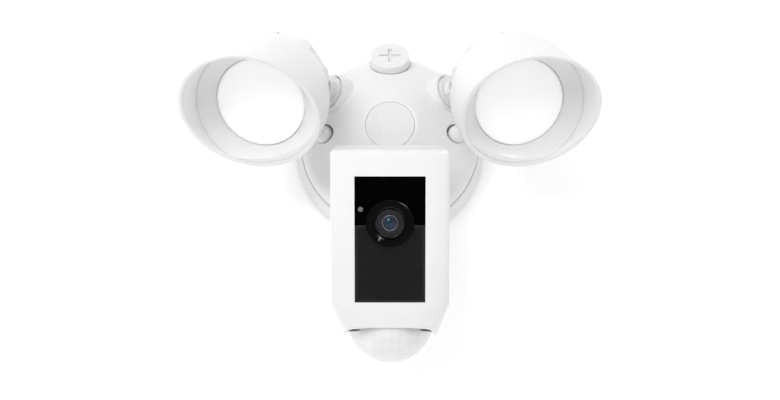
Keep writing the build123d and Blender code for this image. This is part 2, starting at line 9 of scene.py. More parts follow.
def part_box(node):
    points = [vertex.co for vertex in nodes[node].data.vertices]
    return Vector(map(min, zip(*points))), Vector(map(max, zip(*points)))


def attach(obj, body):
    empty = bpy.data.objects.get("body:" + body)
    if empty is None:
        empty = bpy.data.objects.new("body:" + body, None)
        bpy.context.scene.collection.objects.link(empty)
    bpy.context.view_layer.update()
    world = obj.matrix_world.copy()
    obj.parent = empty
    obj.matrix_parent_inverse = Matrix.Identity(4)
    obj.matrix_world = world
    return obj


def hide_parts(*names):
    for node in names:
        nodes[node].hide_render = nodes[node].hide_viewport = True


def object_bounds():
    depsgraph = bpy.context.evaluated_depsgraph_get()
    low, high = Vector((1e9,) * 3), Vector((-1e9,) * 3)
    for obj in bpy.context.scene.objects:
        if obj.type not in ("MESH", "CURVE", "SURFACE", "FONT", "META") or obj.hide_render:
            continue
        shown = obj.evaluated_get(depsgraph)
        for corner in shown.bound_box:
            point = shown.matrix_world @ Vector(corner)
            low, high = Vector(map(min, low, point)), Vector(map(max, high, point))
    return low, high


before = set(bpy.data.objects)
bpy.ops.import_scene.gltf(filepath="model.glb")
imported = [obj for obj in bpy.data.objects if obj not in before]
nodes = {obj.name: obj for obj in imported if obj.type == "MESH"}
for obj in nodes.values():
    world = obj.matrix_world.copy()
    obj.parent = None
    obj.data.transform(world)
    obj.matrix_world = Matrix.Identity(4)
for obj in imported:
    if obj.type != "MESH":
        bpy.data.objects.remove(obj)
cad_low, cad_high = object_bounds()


# ---------------------------------------------------------------- canopy cover and base ring
# The canopy is two injection mouldings in white weather-resistant plastic: a low dome with bosses
# for the three arms, and a tapered ring under it that hides the wall box.  The moulds are spark
# eroded, so the skin has a fine even grain and its gloss changes slowly across the piece.
MM = 0.001
SHARP = radians(32)         # edges that turn more than this are rounded


def principled(material):
    return next(n for n in material.node_tree.nodes if n.type == "BSDF_PRINCIPLED")


def blank(name):
    """A new material, its node tree and its shader."""
    material = bpy.data.materials.new(name)
    material.use_nodes = True
    return material, material.node_tree, principled(material)


def noise(tree, scale, detail, roughness=0.5):
    """Noise on the piece's own coordinates, in cells per metre."""
    place = tree.nodes.new("ShaderNodeTexCoord")
    texture = tree.nodes.new("ShaderNodeTexNoise")
    texture.inputs["Scale"].default_value = scale
    texture.inputs["Detail"].default_value = detail
    texture.inputs["Roughness"].default_value = roughness
    tree.links.new(place.outputs["Object"], texture.inputs["Vector"])
    return texture


def relief(tree, shader, height, strength, distance):
    """Raise a height pattern on the surface."""
    bump = tree.nodes.new("ShaderNodeBump")
    bump.inputs["Strength"].default_value = strength
    bump.inputs["Distance"].default_value = distance
    tree.links.new(height, bump.inputs["Height"])
    tree.links.new(bump.outputs["Normal"], shader.inputs["Normal"])


def tinted(tree, shader, factor, dark, light):
    """Run a colour between two tones with a pattern."""
    ramp = tree.nodes.new("ShaderNodeValToRGB")
    ramp.color_ramp.elements[0].position = 0.3
    ramp.color_ramp.elements[0].color = (*dark, 1)
    ramp.color_ramp.elements[1].position = 0.7
    ramp.color_ramp.elements[1].color = (*light, 1)
    tree.links.new(factor, ramp.inputs["Fac"])
    tree.links.new(ramp.outputs["Color"], shader.inputs["Base Color"])


def varied(tree, shader, factor, low, high):
    """Run the roughness between two limits with a pattern."""
    scale = tree.nodes.new("ShaderNodeMapRange")
    scale.inputs["From Min"].default_value = 0.3
    scale.inputs["From Max"].default_value = 0.7
    scale.inputs["To Min"].default_value = low
    scale.inputs["To Max"].default_value = high
    tree.links.new(factor, scale.inputs["Value"])
    tree.links.new(scale.outputs["Result"], shader.inputs["Roughness"])


def moulded_plastic(name, colour, gloss, grain=2600, depth=0.12, drift=0.025):
    """White or grey moulding: fine eroded grain, slow drift of tone and gloss."""
    material, tree, shader = blank(name)
    cloud = noise(tree, 22, 3)
    darker = tuple(c * (1 - drift) for c in colour)
    tinted(tree, shader, cloud.outputs["Fac"], darker, colour)
    varied(tree, shader, cloud.outputs["Fac"], gloss * 0.88, gloss * 1.12)
    skin = noise(tree, grain, 3, 0.6)
    relief(tree, shader, skin.outputs["Fac"], depth, 0.0001)
    shader.inputs["IOR"].default_value = 1.5
    return material


def dressed(names, material):
    """Give CAD nodes a finish."""
    for name in names:
        piece = nodes[name]
        if not piece.material_slots:
            piece.data.materials.append(material)
        for each in piece.material_slots:
            each.material = material


def settled(piece, body, slot, *stands_for):
    """Let a new piece ride on its body and stand for CAD nodes."""
    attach(piece, body)
    if stands_for:
        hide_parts(*stands_for)
    return piece


def softened(node, body, slot, material, edge):
    """A welded copy of a CAD node with its edges rounded as the real moulding's are."""
    welded = bmesh.new()
    welded.from_mesh(nodes[node].data)
    bmesh.ops.remove_doubles(welded, verts=welded.verts, dist=0.000002)
    bmesh.ops.dissolve_limit(welded, angle_limit=radians(0.4), verts=welded.verts, edges=welded.edges)
    mesh = bpy.data.meshes.new(node + "_shape")
    welded.to_mesh(mesh)
    welded.free()
    stale = mesh.attributes.get("custom_normal")
    if stale:
        mesh.attributes.remove(stale)
    mesh.materials.clear()
    mesh.materials.append(material)
    mesh.shade_smooth()
    mesh.set_sharp_from_angle(angle=SHARP)
    piece = bpy.data.objects.new(node + "_shape", mesh)
    bpy.context.scene.collection.objects.link(piece)
    rounding = piece.modifiers.new("rounding", "BEVEL")
    rounding.width = edge
    rounding.segments = 2
    rounding.limit_method = "ANGLE"
    rounding.angle_limit = SHARP
    rounding.harden_normals = True
    return settled(piece, body, slot, node)


canopy_plastic = moulded_plastic("canopy_plastic", (0.83, 0.83, 0.825), 0.36)
softened("canopy_cover", "canopy", "canopy_white", canopy_plastic, 0.35 * MM)
softened("canopy_base_ring", "canopy", "canopy_white", canopy_plastic, 0.3 * MM)


# ---------------------------------------------------------------- centre cap
# A thin satin disc pressed into a shallow seat on top of the dome.  It is a shade greyer than the
# dome, and its turned edge catches a thin line of light.
def spun(outline, steps=96):
    """Revolve (radius, height) points in millimetres about local z; an outline off the axis is a ring."""
    shape = bmesh.new()
    corners = [shape.verts.new((radius, 0, height)) for radius, height in outline]
    pairs = list(zip(corners, corners[1:]))
    if outline[0][0] > 0:
        pairs.append((corners[-1], corners[0]))
    edges = [shape.edges.new(pair) for pair in pairs]
    bmesh.ops.spin(shape, geom=corners + edges, cent=(0, 0, 0), axis=(0, 0, 1), angle=2 * pi,
                   steps=steps, use_merge=True)
    bmesh.ops.remove_doubles(shape, verts=shape.verts, dist=0.001)
    bmesh.ops.dissolve_degenerate(shape, edges=shape.edges, dist=0.0005)
    bmesh.ops.recalc_face_normals(shape, faces=shape.faces)
    return shape


def eased(shape, width, segments, sharper):
    """Round every edge sharper than an angle."""
    sharp = [e for e in shape.edges if e.is_manifold and e.calc_face_angle() > radians(sharper)]
    bmesh.ops.bevel(shape, geom=sharp, offset=width, segments=segments, affect="EDGES", profile=0.5,
                    material=-1, clamp_overlap=True)
    return shape


def made(name, shape, place, material, angle=30, flip=False):
    """Put a shape in millimetres at its place as a smooth piece; flip makes the right-hand one."""
    bmesh.ops.transform(shape, matrix=place @ Matrix.Scale(MM, 4), verts=shape.verts)
    if flip:
        bmesh.ops.scale(shape, vec=(-1, 1, 1), verts=shape.verts)
    bmesh.ops.recalc_face_normals(shape, faces=shape.faces)
    mesh = bpy.data.meshes.new(name)
    shape.to_mesh(mesh)
    shape.free()
    mesh.materials.append(material)
    mesh.shade_smooth()
    mesh.set_sharp_from_angle(angle=radians(angle))
    piece = bpy.data.objects.new(name, mesh)
    bpy.context.scene.collection.objects.link(piece)
    return piece


def frame_from(origin, out):
    """Local frame: z outwards, x level."""
    z = Vector(out).normalized()
    x = Vector((0, 0, 1)).cross(z).normalized()
    y = z.cross(x)
    return Matrix.Translation(origin) @ Matrix((x, y, z)).transposed().to_4x4()


cap_low, cap_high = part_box("centre_cap")
cap_radius = (cap_high.x - cap_low.x) / 2 / MM
cap_front = frame_from((0, cap_low.y, 0), (0, -1, 0))
cap_disc = spun([(0, 0.1), (cap_radius - 0.9, 0.08), (cap_radius - 0.35, 0.0), (cap_radius - 0.05, -0.2),
                 (cap_radius, -0.45), (cap_radius, -1.5), (0, -1.5)], 128)
cap_satin = moulded_plastic("cap_satin", (0.78, 0.785, 0.79), 0.30, 3200, 0.06)
settled(made("centre_disc", cap_disc, cap_front, cap_satin), "canopy", "cap_grey", "centre_cap")

# ---------------------------------------------------------------- cap nuts and studs
# Closed dome nuts, powder coated white, screwed on zinc-plated steel studs.  Each sits on a white
# washer in a shallow pocket and shows a round head above a short cylindrical skirt.
def plated_steel(name, colour, gloss, grain=900):
    """Bright zinc plate: fine crystals and slight drawing marks."""
    material, tree, shader = blank(name)
    shader.inputs["Metallic"].default_value = 1.0
    crystals = noise(tree, grain, 5, 0.65)
    tinted(tree, shader, crystals.outputs["Fac"], tuple(c * 0.86 for c in colour), colour)
    varied(tree, shader, crystals.outputs["Fac"], gloss * 0.8, gloss * 1.3)
    relief(tree, shader, crystals.outputs["Fac"], 0.10, 0.00006)
    return material


def powder_coat(name, colour, gloss):
    """Baked powder coat: a low orange peel with fine specks."""
    material, tree, shader = blank(name)
    peel = noise(tree, 750, 2, 0.45)
    specks = noise(tree, 4200, 2, 0.5)
    tinted(tree, shader, specks.outputs["Fac"], tuple(c * 0.975 for c in colour), colour)
    varied(tree, shader, peel.outputs["Fac"], gloss * 0.85, gloss * 1.15)
    relief(tree, shader, peel.outputs["Fac"], 0.16, 0.00012)
    shader.inputs["Coat Weight"].default_value = 0.15
    shader.inputs["Coat Roughness"].default_value = 0.25
    return material


white_coat = powder_coat("white_coat", (0.82, 0.82, 0.815), 0.32)
zinc = plated_steel("zinc", (0.62, 0.63, 0.65), 0.28)
nut_low, nut_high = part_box("cap_nuts")
nut_radius = (nut_high.z - nut_low.z) / 2 / MM
nut_height = (nut_high.y - nut_low.y) / MM
stud_low, stud_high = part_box("mounting_studs")
stud_reach = (stud_high.x - stud_low.x - (stud_high.z - stud_low.z)) / 2
NUT_BASE = 0.25
SKIRT = 2.0
POCKET_R = 6.9
turns = [radians(6 * i) for i in range(15)]
for side, sign in (("left", -1), ("right", 1)):
    seat = frame_from((sign * stud_reach, nut_high.y, 0), (0, -1, 0))
    crown = [(nut_radius * cos(a), SKIRT + (nut_height - SKIRT) * sin(a)) for a in turns]
    outline = [(nut_radius, NUT_BASE), (nut_radius, SKIRT - 0.1)] + crown + [(0, nut_height), (0, NUT_BASE)]
    head = spun(outline, 72)
    settled(made(side + "_cap_nut", head, seat, white_coat), "canopy", "painted_nuts", "cap_nuts")
    washer_out = POCKET_R - 0.05
    washer_in = nut_radius + 0.02
    washer = spun([(washer_in, NUT_BASE), (washer_out, NUT_BASE), (washer_out, 1.4),
                   (washer_out - 0.35, 1.7), (washer_in, 1.7)], 72)
    settled(made(side + "_nut_washer", washer, seat, canopy_plastic), "canopy", "painted_nuts")
softened("cross_bracket", "canopy", "zinc_steel", zinc, 0.25 * MM)
dressed(["mounting_studs"], zinc)
brass = plated_steel("brass", (0.62, 0.45, 0.18), 0.30)
softened("earth_screw", "canopy", "brass_parts", brass, 0.2 * MM)


# ---------------------------------------------------------------- wall gasket and small seals
# Closed-cell rubber foam under the base ring and thin moulded seals elsewhere, matt and nearly black.
def soft_rubber(name, colour):
    material, tree, shader = blank(name)
    cells = noise(tree, 1900, 4, 0.7)
    tinted(tree, shader, cells.outputs["Fac"], tuple(c * 0.6 for c in colour), colour)
    varied(tree, shader, cells.outputs["Fac"], 0.7, 0.9)
    relief(tree, shader, cells.outputs["Fac"], 0.35, 0.0002)
    return material


rubber = soft_rubber("rubber", (0.035, 0.035, 0.036))
softened("wall_gasket", "canopy", "gasket_rubber", rubber, 0.4 * MM)
dressed(["plug_seal", "left_lens_seal", "right_lens_seal", "housing_seal"], rubber)

# ---------------------------------------------------------------- closure plug
# A screwed plug closes the spare arm opening at the top of the dome.  It is moulded in the same
# plastic as the canopy, with a cross slot for a coin or a wide driver in its face.
softened("closure_plug", "canopy", "canopy_white", canopy_plastic, 0.3 * MM)


# ---------------------------------------------------------------- electronics in the canopy
# A potted lamp driver and a power board stand side by side on the back of the dome, with a terminal
# block for the supply leads.  The boards are green laminate with copper tracks under solder mask.
def circuit_laminate(name, mask, track):
    """Solder mask over a net of tracks and pads."""
    material, tree, shader = blank(name)
    place = tree.nodes.new("ShaderNodeTexCoord")
    tracks = tree.nodes.new("ShaderNodeTexBrick")
    tracks.offset = 0.37
    tracks.inputs["Scale"].default_value = 240
    tracks.inputs["Mortar Size"].default_value = 0.07
    tracks.inputs["Color1"].default_value = (*mask, 1)
    tracks.inputs["Color2"].default_value = (*tuple(c * 0.8 for c in mask), 1)
    tracks.inputs["Mortar"].default_value = (*track, 1)
    tree.links.new(place.outputs["Object"], tracks.inputs["Vector"])
    tree.links.new(tracks.outputs["Color"], shader.inputs["Base Color"])
    relief(tree, shader, tracks.outputs["Fac"], 0.3, 0.00005)
    shader.inputs["Roughness"].default_value = 0.28
    shader.inputs["Coat Weight"].default_value = 0.4
    return material


laminate = circuit_laminate("laminate", (0.012, 0.085, 0.035), (0.03, 0.19, 0.07))
black_moulding = moulded_plastic("black_moulding", (0.022, 0.022, 0.024), 0.42, 1800, 0.2, 0.2)
grey_moulding = moulded_plastic("grey_moulding", (0.30, 0.31, 0.32), 0.4, 2200, 0.12)
softened("led_driver", "canopy", "electronics_plastic", black_moulding, 0.6 * MM)
softened("power_components", "canopy", "electronics_plastic", black_moulding, 0.35 * MM)
softened("terminal_block", "canopy", "electronics_plastic", grey_moulding, 0.3 * MM)
dressed(["power_board", "main_board", "sensor_board", "image_sensor_board"], laminate)

# ---------------------------------------------------------------- swivel arms
# Each lamp hangs on a die-cast arm, powder coated white: a hollow stem with a collar that turns in
# the canopy's boss, and a flat eye for the knuckle bolt.  A flanged nut holds it from the inside.
for side in ("left", "right"):
    softened(side + "_lamp_arm", side + "_arm", "painted_aluminium", white_coat, 0.45 * MM)
    softened(side + "_arm_nut", side + "_arm", "zinc_steel", zinc, 0.3 * MM)
    softened(side + "_knuckle_bolt", side + "_lamp", "painted_nuts", white_coat, 0.35 * MM)
softened("camera_arm", "camera_arm", "painted_aluminium", white_coat, 0.35 * MM)
softened("camera_arm_nut", "camera_arm", "zinc_steel", zinc, 0.3 * MM)
softened("tilt_pin", "camera_arm", "zinc_steel", zinc, 0.2 * MM)
softened("cross_block", "cross_block", "zinc_steel", zinc, 0.3 * MM)


# ---------------------------------------------------------------- lamp housings
# The lamp's shell is one moulding: a bowl with a rounded back and a hood whose mouth is cut on a
# slant, long at the top and short below, with a thin lip all round.
def thin_way(node):
    """Middle of a flat CAD node and the direction it is thin in, turned to the front."""
    points = np.array([v.co for v in nodes[node].data.vertices])
    middle = (points.min(0) + points.max(0)) / 2
    axis = Vector(np.linalg.svd(points - points.mean(0), full_matrices=False)[2][2])
    if axis.y > 0:
        axis = -axis
    return Vector(middle), axis.normalized()


def bow(start, through, end, count=10):
    """Points on the circle through three points, both ends included."""
    (ax, ay), (bx, by), (cx, cy) = start, through, end
    d = 2 * (ax * (by - cy) + bx * (cy - ay) + cx * (ay - by))
    aa = ax * ax + ay * ay
    bb = bx * bx + by * by
    cc = cx * cx + cy * cy
    ux = (aa * (by - cy) + bb * (cy - ay) + cc * (ay - by)) / d
    uy = (aa * (cx - bx) + bb * (ax - cx) + cc * (bx - ax)) / d
    first = atan2(ay - uy, ax - ux)
    last = atan2(cy - uy, cx - ux)
    turn = (last - first + pi) % (2 * pi) - pi
    radius = hypot(ax - ux, ay - uy)
    steps = [first + turn * i / count for i in range(count + 1)]
    return [(ux + radius * cos(a), uy + radius * sin(a)) for a in steps]


BOARD_MIDDLE = 7.6          # lens seat to the middle of the light board
LENS_R = 28.0
SHELL_R = 41.5
SHELL_WALL = 2.9
CREASE = 8.5
HOOD_TOP = 42.0
HOOD_FLARE = 0.078
MOUTH_TILT = (-0.072, 0.43)
MOUTH_AT = 21.1
board_middle, lamp_axis = thin_way("left_led_board")
LAMP = frame_from(board_middle + lamp_axis * BOARD_MIDDLE * MM, lamp_axis)
mouth_normal = Vector((-MOUTH_TILT[0], -MOUTH_TILT[1], 1))


def mouth_cut(shape, back=0.0):
    """Cut off what stands ahead of the hood's slanting mouth, and give the cut edges."""
    cut = bmesh.ops.bisect_plane(shape, geom=shape.verts[:] + shape.edges[:] + shape.faces[:], dist=0.0001,
                                 plane_co=(0, 0, MOUTH_AT - back), plane_no=mouth_normal, clear_outer=True)
    return [e for e in cut["geom_cut"] if isinstance(e, bmesh.types.BMEdge) and e.is_boundary]


shell_plastic = moulded_plastic("shell_plastic", (0.84, 0.84, 0.835), 0.34)
inner_r = SHELL_R - SHELL_WALL
for side, flip in (("left", False), ("right", True)):
    outline = [(inner_r, CREASE), (inner_r + HOOD_FLARE * (HOOD_TOP - CREASE), HOOD_TOP),
               (SHELL_R + 0.03 * HOOD_TOP, HOOD_TOP), (SHELL_R, 0)]
    outline += bow((SHELL_R - 0.5, -12), (36.8, -26), (30.0, -37))
    outline += [(28.6, -38), (22.0, -38), (22.0, -35.6)]
    outline += bow((27.4, -35.6), (34.3, -25), (inner_r, -12))
    shell = spun(outline, 160)
    rim = mouth_cut(shell)
    bmesh.ops.bridge_loops(shell, edges=rim)
    bmesh.ops.recalc_face_normals(shell, faces=shell.faces)
    eased(shell, 0.55, 3, 40)
    settled(made(side + "_lamp_shell", shell, LAMP, shell_plastic, 40, flip), side + "_lamp", "lamp_white",
            side + "_lamp_housing")

# ---------------------------------------------------------------- bezels
# A white conical ring leads from the lens out to the hood and hides the light board's fixings.
reflector = moulded_plastic("reflector", (0.85, 0.85, 0.845), 0.24, 3000, 0.05)
for side, flip in (("left", False), ("right", True)):
    cone = spun([(LENS_R - 1.5, -4.0), (LENS_R - 1.5, -2.6), (LENS_R + 1.0, -2.6), (LENS_R + 1.0, 0.8),
                 (LENS_R + 1.4, 1.2), (LENS_R + 2.2, 1.45), (inner_r - 0.9, CREASE - 0.35),
                 (inner_r - 0.25, CREASE), (inner_r - 0.05, CREASE - 0.1), (inner_r - 0.05, -4.0)], 144)
    rim = mouth_cut(cone, 0.8)
    bmesh.ops.holes_fill(cone, edges=rim, sides=0)
    settled(made(side + "_bezel_cone", cone, LAMP, reflector, 30, flip), side + "_lamp", "reflector_white",
            side + "_lamp_bezel")


# ---------------------------------------------------------------- lamp lenses and light boards
# The lens is a crowned opal disc that spreads the light of the chips behind it.  It is clear plastic
# filled with white pigment, so light goes a little way in and its edge is soft.
# The lens also carries a weak painted glow: a white emission that lifts it to pure white.
def opal_with_painted_glow(name):
    material, tree, shader = blank(name)
    milk = noise(tree, 40, 2)
    tinted(tree, shader, milk.outputs["Fac"], (0.90, 0.90, 0.895), (0.93, 0.93, 0.925))
    frost = noise(tree, 3600, 2)
    relief(tree, shader, frost.outputs["Fac"], 0.05, 0.00008)
    shader.inputs["Roughness"].default_value = 0.30
    shader.inputs["Subsurface Weight"].default_value = 0.25
    shader.inputs["Subsurface Radius"].default_value = (1, 1, 1)
    shader.inputs["Subsurface Scale"].default_value = 0.003
    # painted glow: weak white emission that brightens the lens
    shader.inputs["Emission Color"].default_value = (1, 1, 1, 1)
    shader.inputs["Emission Strength"].default_value = 0.24
    return material


glowing_lens_opal = opal_with_painted_glow("glowing_lens_opal")
board_white = moulded_plastic("board_white", (0.75, 0.76, 0.75), 0.35, 1600, 0.05)
phosphor = moulded_plastic("phosphor", (0.85, 0.62, 0.10), 0.2, 5200, 0.3)
LENS_CROWN = 1.6
for side, flip in (("left", False), ("right", True)):
    crown = bow((LENS_R - 0.35, 0.0), (LENS_R / 2, 1.21), (0.0, LENS_CROWN), 14)
    disc = spun([(0, -2.6), (LENS_R, -2.6), (LENS_R, -0.35)] + crown[:-1] + [(0, LENS_CROWN)], 128)
    settled(made(side + "_lens_disc", disc, LAMP, glowing_lens_opal, 50, flip), side + "_lamp", "diffuser",
            side + "_lamp_lens")
dressed(["left_led_board", "right_led_board"], board_white)
dressed(["left_led_chips", "right_led_chips"], phosphor)

# ---------------------------------------------------------------- heat sinks
# The back of each lamp is an aluminium die casting with notches round its rim for cooling and two
# ears for the knuckle bolt, powder coated to match the shell.
for side in ("left", "right"):
    softened(side + "_lamp_heat_sink", side + "_lamp", "painted_aluminium", white_coat, 0.5 * MM)

# ---------------------------------------------------------------- camera covers
# Front cover and rear housing are thin mouldings that meet on a rubber seal.  The front is flat and
# rolls off at its sides, and a tapered chin below carries the motion sensor.
camera_plastic = moulded_plastic("camera_plastic", (0.85, 0.85, 0.845), 0.33)
softened("camera_front_cover", "camera", "camera_white", camera_plastic, 0.3 * MM)
softened("camera_rear_housing", "camera", "camera_white", camera_plastic, 0.3 * MM)
dressed(["housing_screws", "pyroelectric_sensors"], zinc)

# ---------------------------------------------------------------- motion sensor lens
# A thin milky ball lens that lets infrared through.  Its inside is cut into many small lens fields,
# which show from outside only as a very faint change of gloss.  A flat collar closes the chin's
# underside round the ball.
PANEL_TOP = 30.5            # top edge of the black face above the camera's middle
PANEL_BACK = 0.5            # how far the face lies behind the cover
face_out = thin_way("face_panel")[1]
up = face_out.cross(Vector((1, 0, 0))).normalized()
panel_corners = [v.co for v in nodes["face_panel"].data.vertices]
panel_top = max(co.dot(up) for co in panel_corners)
panel_front = max(co.dot(face_out) for co in panel_corners)
cam_origin = up * (panel_top - PANEL_TOP * MM) + face_out * (panel_front + PANEL_BACK * MM)
CAM = frame_from(cam_origin, face_out)
DOME_R = 26.6
DOME_WALL = 1.0
DOME_AT = (0, -60.6, -33.0)
DOME_TOP = 2.5              # how far the ball goes on above its middle, inside the chin
COLLAR_HALF = 28.45
COLLAR_BACK = -60.5
COLLAR_FRONT = -13.5
COLLAR_LEVEL = -63.8
COLLAR_CORNER = 10.9
COLLAR_T = 0.8


def milky(name):
    material, tree, shader = blank(name)
    place = tree.nodes.new("ShaderNodeTexCoord")
    fields = tree.nodes.new("ShaderNodeTexVoronoi")
    fields.inputs["Scale"].default_value = 190
    fields.inputs["Randomness"].default_value = 0.35
    tree.links.new(place.outputs["Object"], fields.inputs["Vector"])
    tinted(tree, shader, fields.outputs["Distance"], (0.80, 0.80, 0.795), (0.835, 0.835, 0.83))
    relief(tree, shader, fields.outputs["Distance"], 0.03, 0.0002)
    shader.inputs["Roughness"].default_value = 0.36
    shader.inputs["Subsurface Weight"].default_value = 0.15
    shader.inputs["Subsurface Radius"].default_value = (1, 1, 1)
    shader.inputs["Subsurface Scale"].default_value = 0.002
    return material


def ball_arc(radius):
    """Outline of a ball from its cut top to its lowest point."""
    first = np.arcsin(DOME_TOP / DOME_R)
    return [(radius * cos(a), -radius * sin(a)) for a in np.linspace(first, -pi / 2, 26)]


dome_place = CAM @ Matrix.Translation(Vector(DOME_AT) * MM) @ Matrix.Rotation(radians(90), 4, "X")
outer = ball_arc(DOME_R)
inner = ball_arc(DOME_R - DOME_WALL)
ball = spun([(0, DOME_R)] + outer[-2::-1] + inner[:-1] + [(0, DOME_R - DOME_WALL)], 128)
settled(made("sensor_ball", ball, dome_place, milky("milky"), 40), "camera", "sensor_lens", "sensor_dome")

mouth_r = DOME_R - 0.7
ahead = COLLAR_FRONT - DOME_AT[2]
first_turn = atan2(ahead, sqrt(mouth_r ** 2 - ahead ** 2))
corner = []
for i in range(19):
    turn = radians(5 * i)
    x = COLLAR_HALF - COLLAR_CORNER * (1 - cos(turn))
    corner.append((x, COLLAR_BACK + COLLAR_CORNER * (1 - sin(turn))))
mirrored = [(-x, z) for x, z in reversed(corner)]
rim = [(COLLAR_HALF, COLLAR_FRONT)] + corner + mirrored + [(-COLLAR_HALF, COLLAR_FRONT)]
for turn in np.linspace(first_turn, -pi - first_turn, 60):
    rim.append((-mouth_r * cos(turn), DOME_AT[2] + mouth_r * sin(turn)))
collar = bmesh.new()
collar.faces.new([collar.verts.new((x, COLLAR_LEVEL, z)) for x, z in rim])
bmesh.ops.triangulate(collar, faces=collar.faces[:])
bmesh.ops.solidify(collar, geom=collar.faces[:], thickness=COLLAR_T)
settled(made("sensor_collar", collar, CAM, camera_plastic), "camera", "camera_white")


# ---------------------------------------------------------------- black face and speaker cover
# The upper half of the face is polished black plastic, dark to the eye and open to infrared.  Below
# it a black sheet with fine diamond holes and a plain border covers the speaker, over a thin cloth.
def polished_black(name, mirror=0.5):
    material, tree, shader = blank(name)
    haze = noise(tree, 60, 3)
    tinted(tree, shader, haze.outputs["Fac"], (0.0004, 0.0004, 0.0005), (0.0008, 0.0008, 0.001))
    varied(tree, shader, haze.outputs["Fac"], 0.05, 0.10)
    shader.inputs["Specular IOR Level"].default_value = mirror
    return material


def coated_sheet(name):
    material, tree, shader = blank(name)
    grain = noise(tree, 2400, 3)
    tinted(tree, shader, grain.outputs["Fac"], (0.019, 0.019, 0.0205), (0.033, 0.033, 0.0355))
    relief(tree, shader, grain.outputs["Fac"], 0.15, 0.00005)
    shader.inputs["Specular IOR Level"].default_value = 0.35
    shader.inputs["Roughness"].default_value = 0.42
    return material


face_black = polished_black("face_black", 0.06)
softened("face_panel", "camera", "face_black", face_black, 0.3 * MM)
HOLE_PITCH = 1.06
WEB = 0.36
SHEET_T = 0.6
PANEL_HALF = 20.75
PANEL_MID = 1.8
PANEL_LOW = -43.9
LENS_Y = 2.6
LENS_BEZEL_R = 14.4
BORDER = 0.9
cover_middle = (PANEL_MID + PANEL_LOW) / 2
cover_half = (PANEL_MID - PANEL_LOW) / 2


def rectangle(inset, across, along):
    """Flat grid over the speaker cover, set in from its outline."""
    shape = bmesh.new()
    bmesh.ops.create_grid(shape, x_segments=across, y_segments=along, size=1)
    bmesh.ops.scale(shape, vec=(PANEL_HALF - inset, cover_half - inset, 1), verts=shape.verts)
    bmesh.ops.translate(shape, vec=(0, cover_middle, 0), verts=shape.verts)
    return shape


def sliced(shape, point, normal, clear=False):
    """Cut a flat shape along a line, and drop what is beyond it if asked."""
    bmesh.ops.bisect_plane(shape, geom=shape.verts[:] + shape.edges[:] + shape.faces[:], dist=0.0001,
                           plane_co=point, plane_no=normal, clear_outer=clear)


def opened_for_lens(shape):
    """Take out the faces that the lens ring covers."""
    covered = []
    for face in shape.faces:
        middle = face.calc_center_median()
        if hypot(middle.x, middle.y - LENS_Y) < LENS_BEZEL_R - 0.9:
            covered.append(face)
    bmesh.ops.delete(shape, geom=covered, context="FACES")


def at_depth(depth):
    return CAM @ Matrix.Translation((0, 0, -depth * MM))


sheet_steps = int(64 / HOLE_PITCH)
sheet = bmesh.new()
reach = sheet_steps * HOLE_PITCH / 2
bmesh.ops.create_grid(sheet, x_segments=sheet_steps, y_segments=sheet_steps, size=reach)
bmesh.ops.rotate(sheet, matrix=Matrix.Rotation(radians(45), 3, "Z"), verts=sheet.verts)
bmesh.ops.translate(sheet, vec=(0, cover_middle, 0), verts=sheet.verts)
sliced(sheet, (PANEL_HALF - BORDER, 0, 0), (1, 0, 0), True)
sliced(sheet, (BORDER - PANEL_HALF, 0, 0), (-1, 0, 0), True)
sliced(sheet, (0, PANEL_MID - BORDER, 0), (0, 1, 0), True)
sliced(sheet, (0, PANEL_LOW + BORDER, 0), (0, -1, 0), True)
whole = [f for f in sheet.faces if f.calc_area() > 0.9 * HOLE_PITCH ** 2]
bmesh.ops.inset_individual(sheet, faces=whole, thickness=WEB / 2, depth=0)
bmesh.ops.delete(sheet, geom=whole, context="FACES")
opened_for_lens(sheet)
bmesh.ops.solidify(sheet, geom=sheet.faces[:], thickness=SHEET_T)
sheet_black = coated_sheet("sheet_black")
sheet_piece = made("speaker_sheet", sheet, at_depth(0.55), sheet_black)
settled(sheet_piece, "camera", "grille_black", "speaker_grille")

border = rectangle(0.05, 1, 1)
bmesh.ops.inset_region(border, faces=border.faces[:], thickness=BORDER + 0.1, depth=0, use_boundary=True)
bmesh.ops.delete(border, geom=[max(border.faces, key=lambda f: f.calc_area())], context="FACES")
for across in (0.8 - LENS_BEZEL_R, LENS_BEZEL_R - 0.8):
    sliced(border, (across, 0, 0), (1, 0, 0))
opened_for_lens(border)
bmesh.ops.solidify(border, geom=border.faces[:], thickness=SHEET_T + 0.15)
settled(made("sheet_border", border, at_depth(0.5), sheet_black), "camera", "grille_black")

cloth = rectangle(0.1, 60, 64)
opened_for_lens(cloth)
bmesh.ops.solidify(cloth, geom=cloth.faces[:], thickness=0.3)
cloth_black = moulded_plastic("cloth_black", (0.004, 0.004, 0.0045), 0.8, 2600, 0.2)
settled(made("acoustic_cloth", cloth, at_depth(1.3), cloth_black), "camera", "grille_black")

# ---------------------------------------------------------------- lens
# A black ring with a rounded lip carries the cover glass.  Behind the glass the barrel steps down in
# fine threads to the front element, whose coatings glance violet and teal, and to the iris.
ring_black = polished_black("ring_black")
lens_place = CAM @ Matrix.Translation((0, LENS_Y * MM, 0))
WINDOW_R = 9.25             # opening that the cover glass closes
lip = spun([(LENS_BEZEL_R, -3.4), (LENS_BEZEL_R, 0.25), (LENS_BEZEL_R - 0.35, 0.75),
            (LENS_BEZEL_R - 0.95, 1.0), (LENS_BEZEL_R - 1.6, 0.9), (LENS_BEZEL_R - 2.4, 0.35),
            (WINDOW_R + 0.65, -0.45), (WINDOW_R + 0.25, -0.75), (WINDOW_R, -1.2), (WINDOW_R, -3.4)], 128)
settled(made("lens_ring", lip, lens_place, ring_black, 50), "camera", "face_black", "lens_bezel")
trim_ring = spun([(WINDOW_R - 0.05, -1.15), (WINDOW_R - 0.05, -0.85), (WINDOW_R - 0.3, -0.7),
                  (WINDOW_R - 0.7, -0.75), (WINDOW_R - 0.85, -1.15)], 96)
